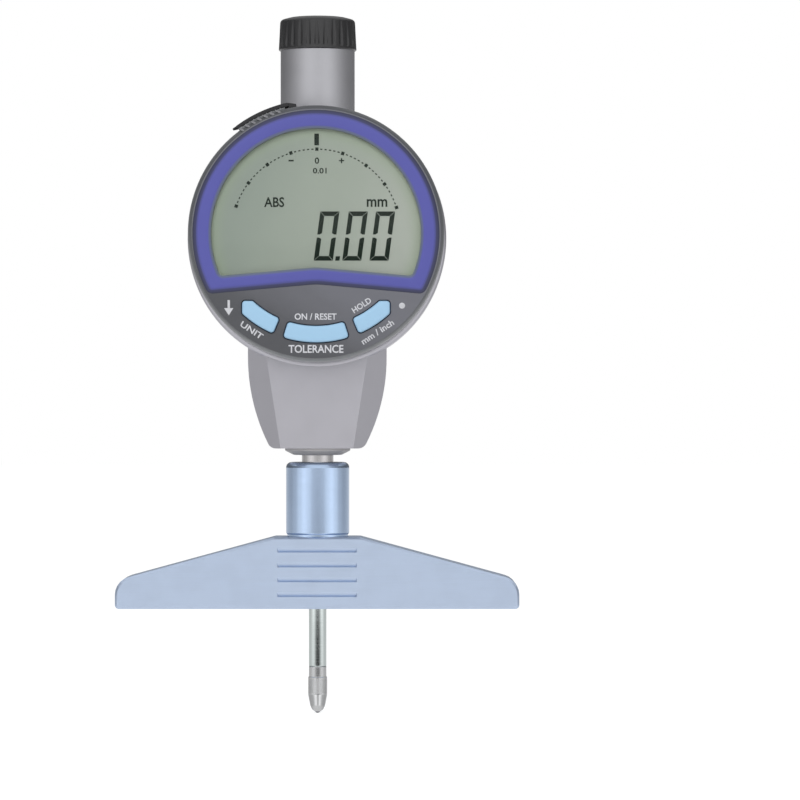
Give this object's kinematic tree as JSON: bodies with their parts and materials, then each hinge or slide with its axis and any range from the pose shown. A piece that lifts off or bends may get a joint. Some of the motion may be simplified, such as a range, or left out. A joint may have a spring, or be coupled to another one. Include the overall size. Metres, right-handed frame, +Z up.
{
  "type": "digital depth gauge",
  "caption": "Digital depth gauge: indicator head with a turning round display and buttons, clamped on a flat steel base, with a sprung spindle through it.",
  "frame": {"origin": "where the spindle's axis meets the base's measuring face", "axes": "+Z up along the spindle, away from the work; the dial faces -Y; +X is the reader's right"},
  "size_m": [0.1014, 0.0336, 0.1756],
  "materials": {
    "ground_steel": "fine ground steel, satin",
    "turned_steel": "turned and polished steel",
    "cast_metal": "blasted casting, satin",
    "sleeve_metal": "turned, satin",
    "cap_black": "moulded, matt black",
    "screw_steel": "plated screws",
    "bush_bronze": "bearing bronze",
    "soft_rubber": "moulded rubber",
    "circuit_board": "solder-masked board",
    "black_moulding": "moulded, matt black",
    "ribbon": "polyimide film",
    "cell_steel": "drawn steel can",
    "contact_gold": "gold plated",
    "carbide": "ground carbide",
    "scale_glass": "glass-fibre scale, printed",
    "case_grey": "moulded, dark grey",
    "panel_grey": "moulded, fine matt grain",
    "frame_blue": "moulded, satin blue",
    "window": "clear acrylic",
    "display_glass": "reflective liquid-crystal display",
    "key_rubber": "silicone",
    "button_blue": "moulded, pale blue"
  },
  "bodies": {
    "housing": {"base": "ground_steel", "base_collar": "ground_steel", "collar_clamp_screw": "screw_steel", "stem": "turned_steel", "lower_bush": "bush_bronze", "body_housing": "cast_metal", "upper_bush": "bush_bronze", "upper_sleeve": "sleeve_metal", "sleeve_cap": "cap_black", "back_cover": "cast_metal", "back_cover_seal": "soft_rubber", "back_cover_screws": "screw_steel", "guide_rod": "turned_steel", "stop_bumper": "soft_rubber", "return_spring": "turned_steel", "sensor_board": "circuit_board", "sensor_board_screws": "screw_steel", "read_head": "black_moulding", "flex_cable": "ribbon", "battery_tray": "black_moulding", "battery_contact": "contact_gold", "coin_cell": "cell_steel", "friction_ring": "soft_rubber"},
    "spindle_unit": {"spindle": "turned_steel", "contact_point": "turned_steel", "contact_ball": "carbide", "scale_carrier": "black_moulding", "carrier_screw": "screw_steel", "encoder_scale": "scale_glass"},
    "display_unit": {"display_case": "case_grey", "face_panel": "panel_grey", "display_frame": "frame_blue", "window_lens": "window", "lcd_panel": "display_glass", "contact_strips": "soft_rubber", "main_board": "circuit_board", "keypad_mat": "key_rubber", "data_socket": "black_moulding", "socket_pins": "contact_gold", "cover_anchor": "soft_rubber", "display_retainer": "cast_metal", "retainer_screws": "screw_steel", "case_screws": "screw_steel"},
    "left_key": {"left_button": "button_blue"},
    "centre_key": {"centre_button": "button_blue"},
    "right_key": {"right_button": "button_blue"},
    "socket_flap": {"port_cover": "soft_rubber"}
  },
  "joints": [
    {"name": "spindle_travel", "type": "slide", "parent": "housing", "child": "spindle_unit", "axis": [0, 0, 1], "range_m": [0, 0.027], "stiffness_N_per_m": 30, "springref_m": -0.04, "deforming": ["return_spring"]},
    {"name": "display_turn", "type": "hinge", "parent": "housing", "child": "display_unit", "pos_m": [0, -0.0103, 0.0937], "axis": [0, 1, 0], "range_deg": [-165, 165]},
    {"name": "left_button_press", "type": "slide", "parent": "display_unit", "child": "left_key", "axis": [0, 1, 0], "range_m": [0, 0.0005], "stiffness_N_per_m": 2000},
    {"name": "centre_button_press", "type": "slide", "parent": "display_unit", "child": "centre_key", "axis": [0, 1, 0], "range_m": [0, 0.0005], "stiffness_N_per_m": 2000},
    {"name": "right_button_press", "type": "slide", "parent": "display_unit", "child": "right_key", "axis": [0, 1, 0], "range_m": [0, 0.0005], "stiffness_N_per_m": 2000},
    {"name": "port_cover_swing", "type": "hinge", "parent": "display_unit", "child": "socket_flap", "pos_m": [-0.00728, -0.0158, 0.12573], "axis": [0, 1, 0], "range_deg": [0, 100]}
  ]
}
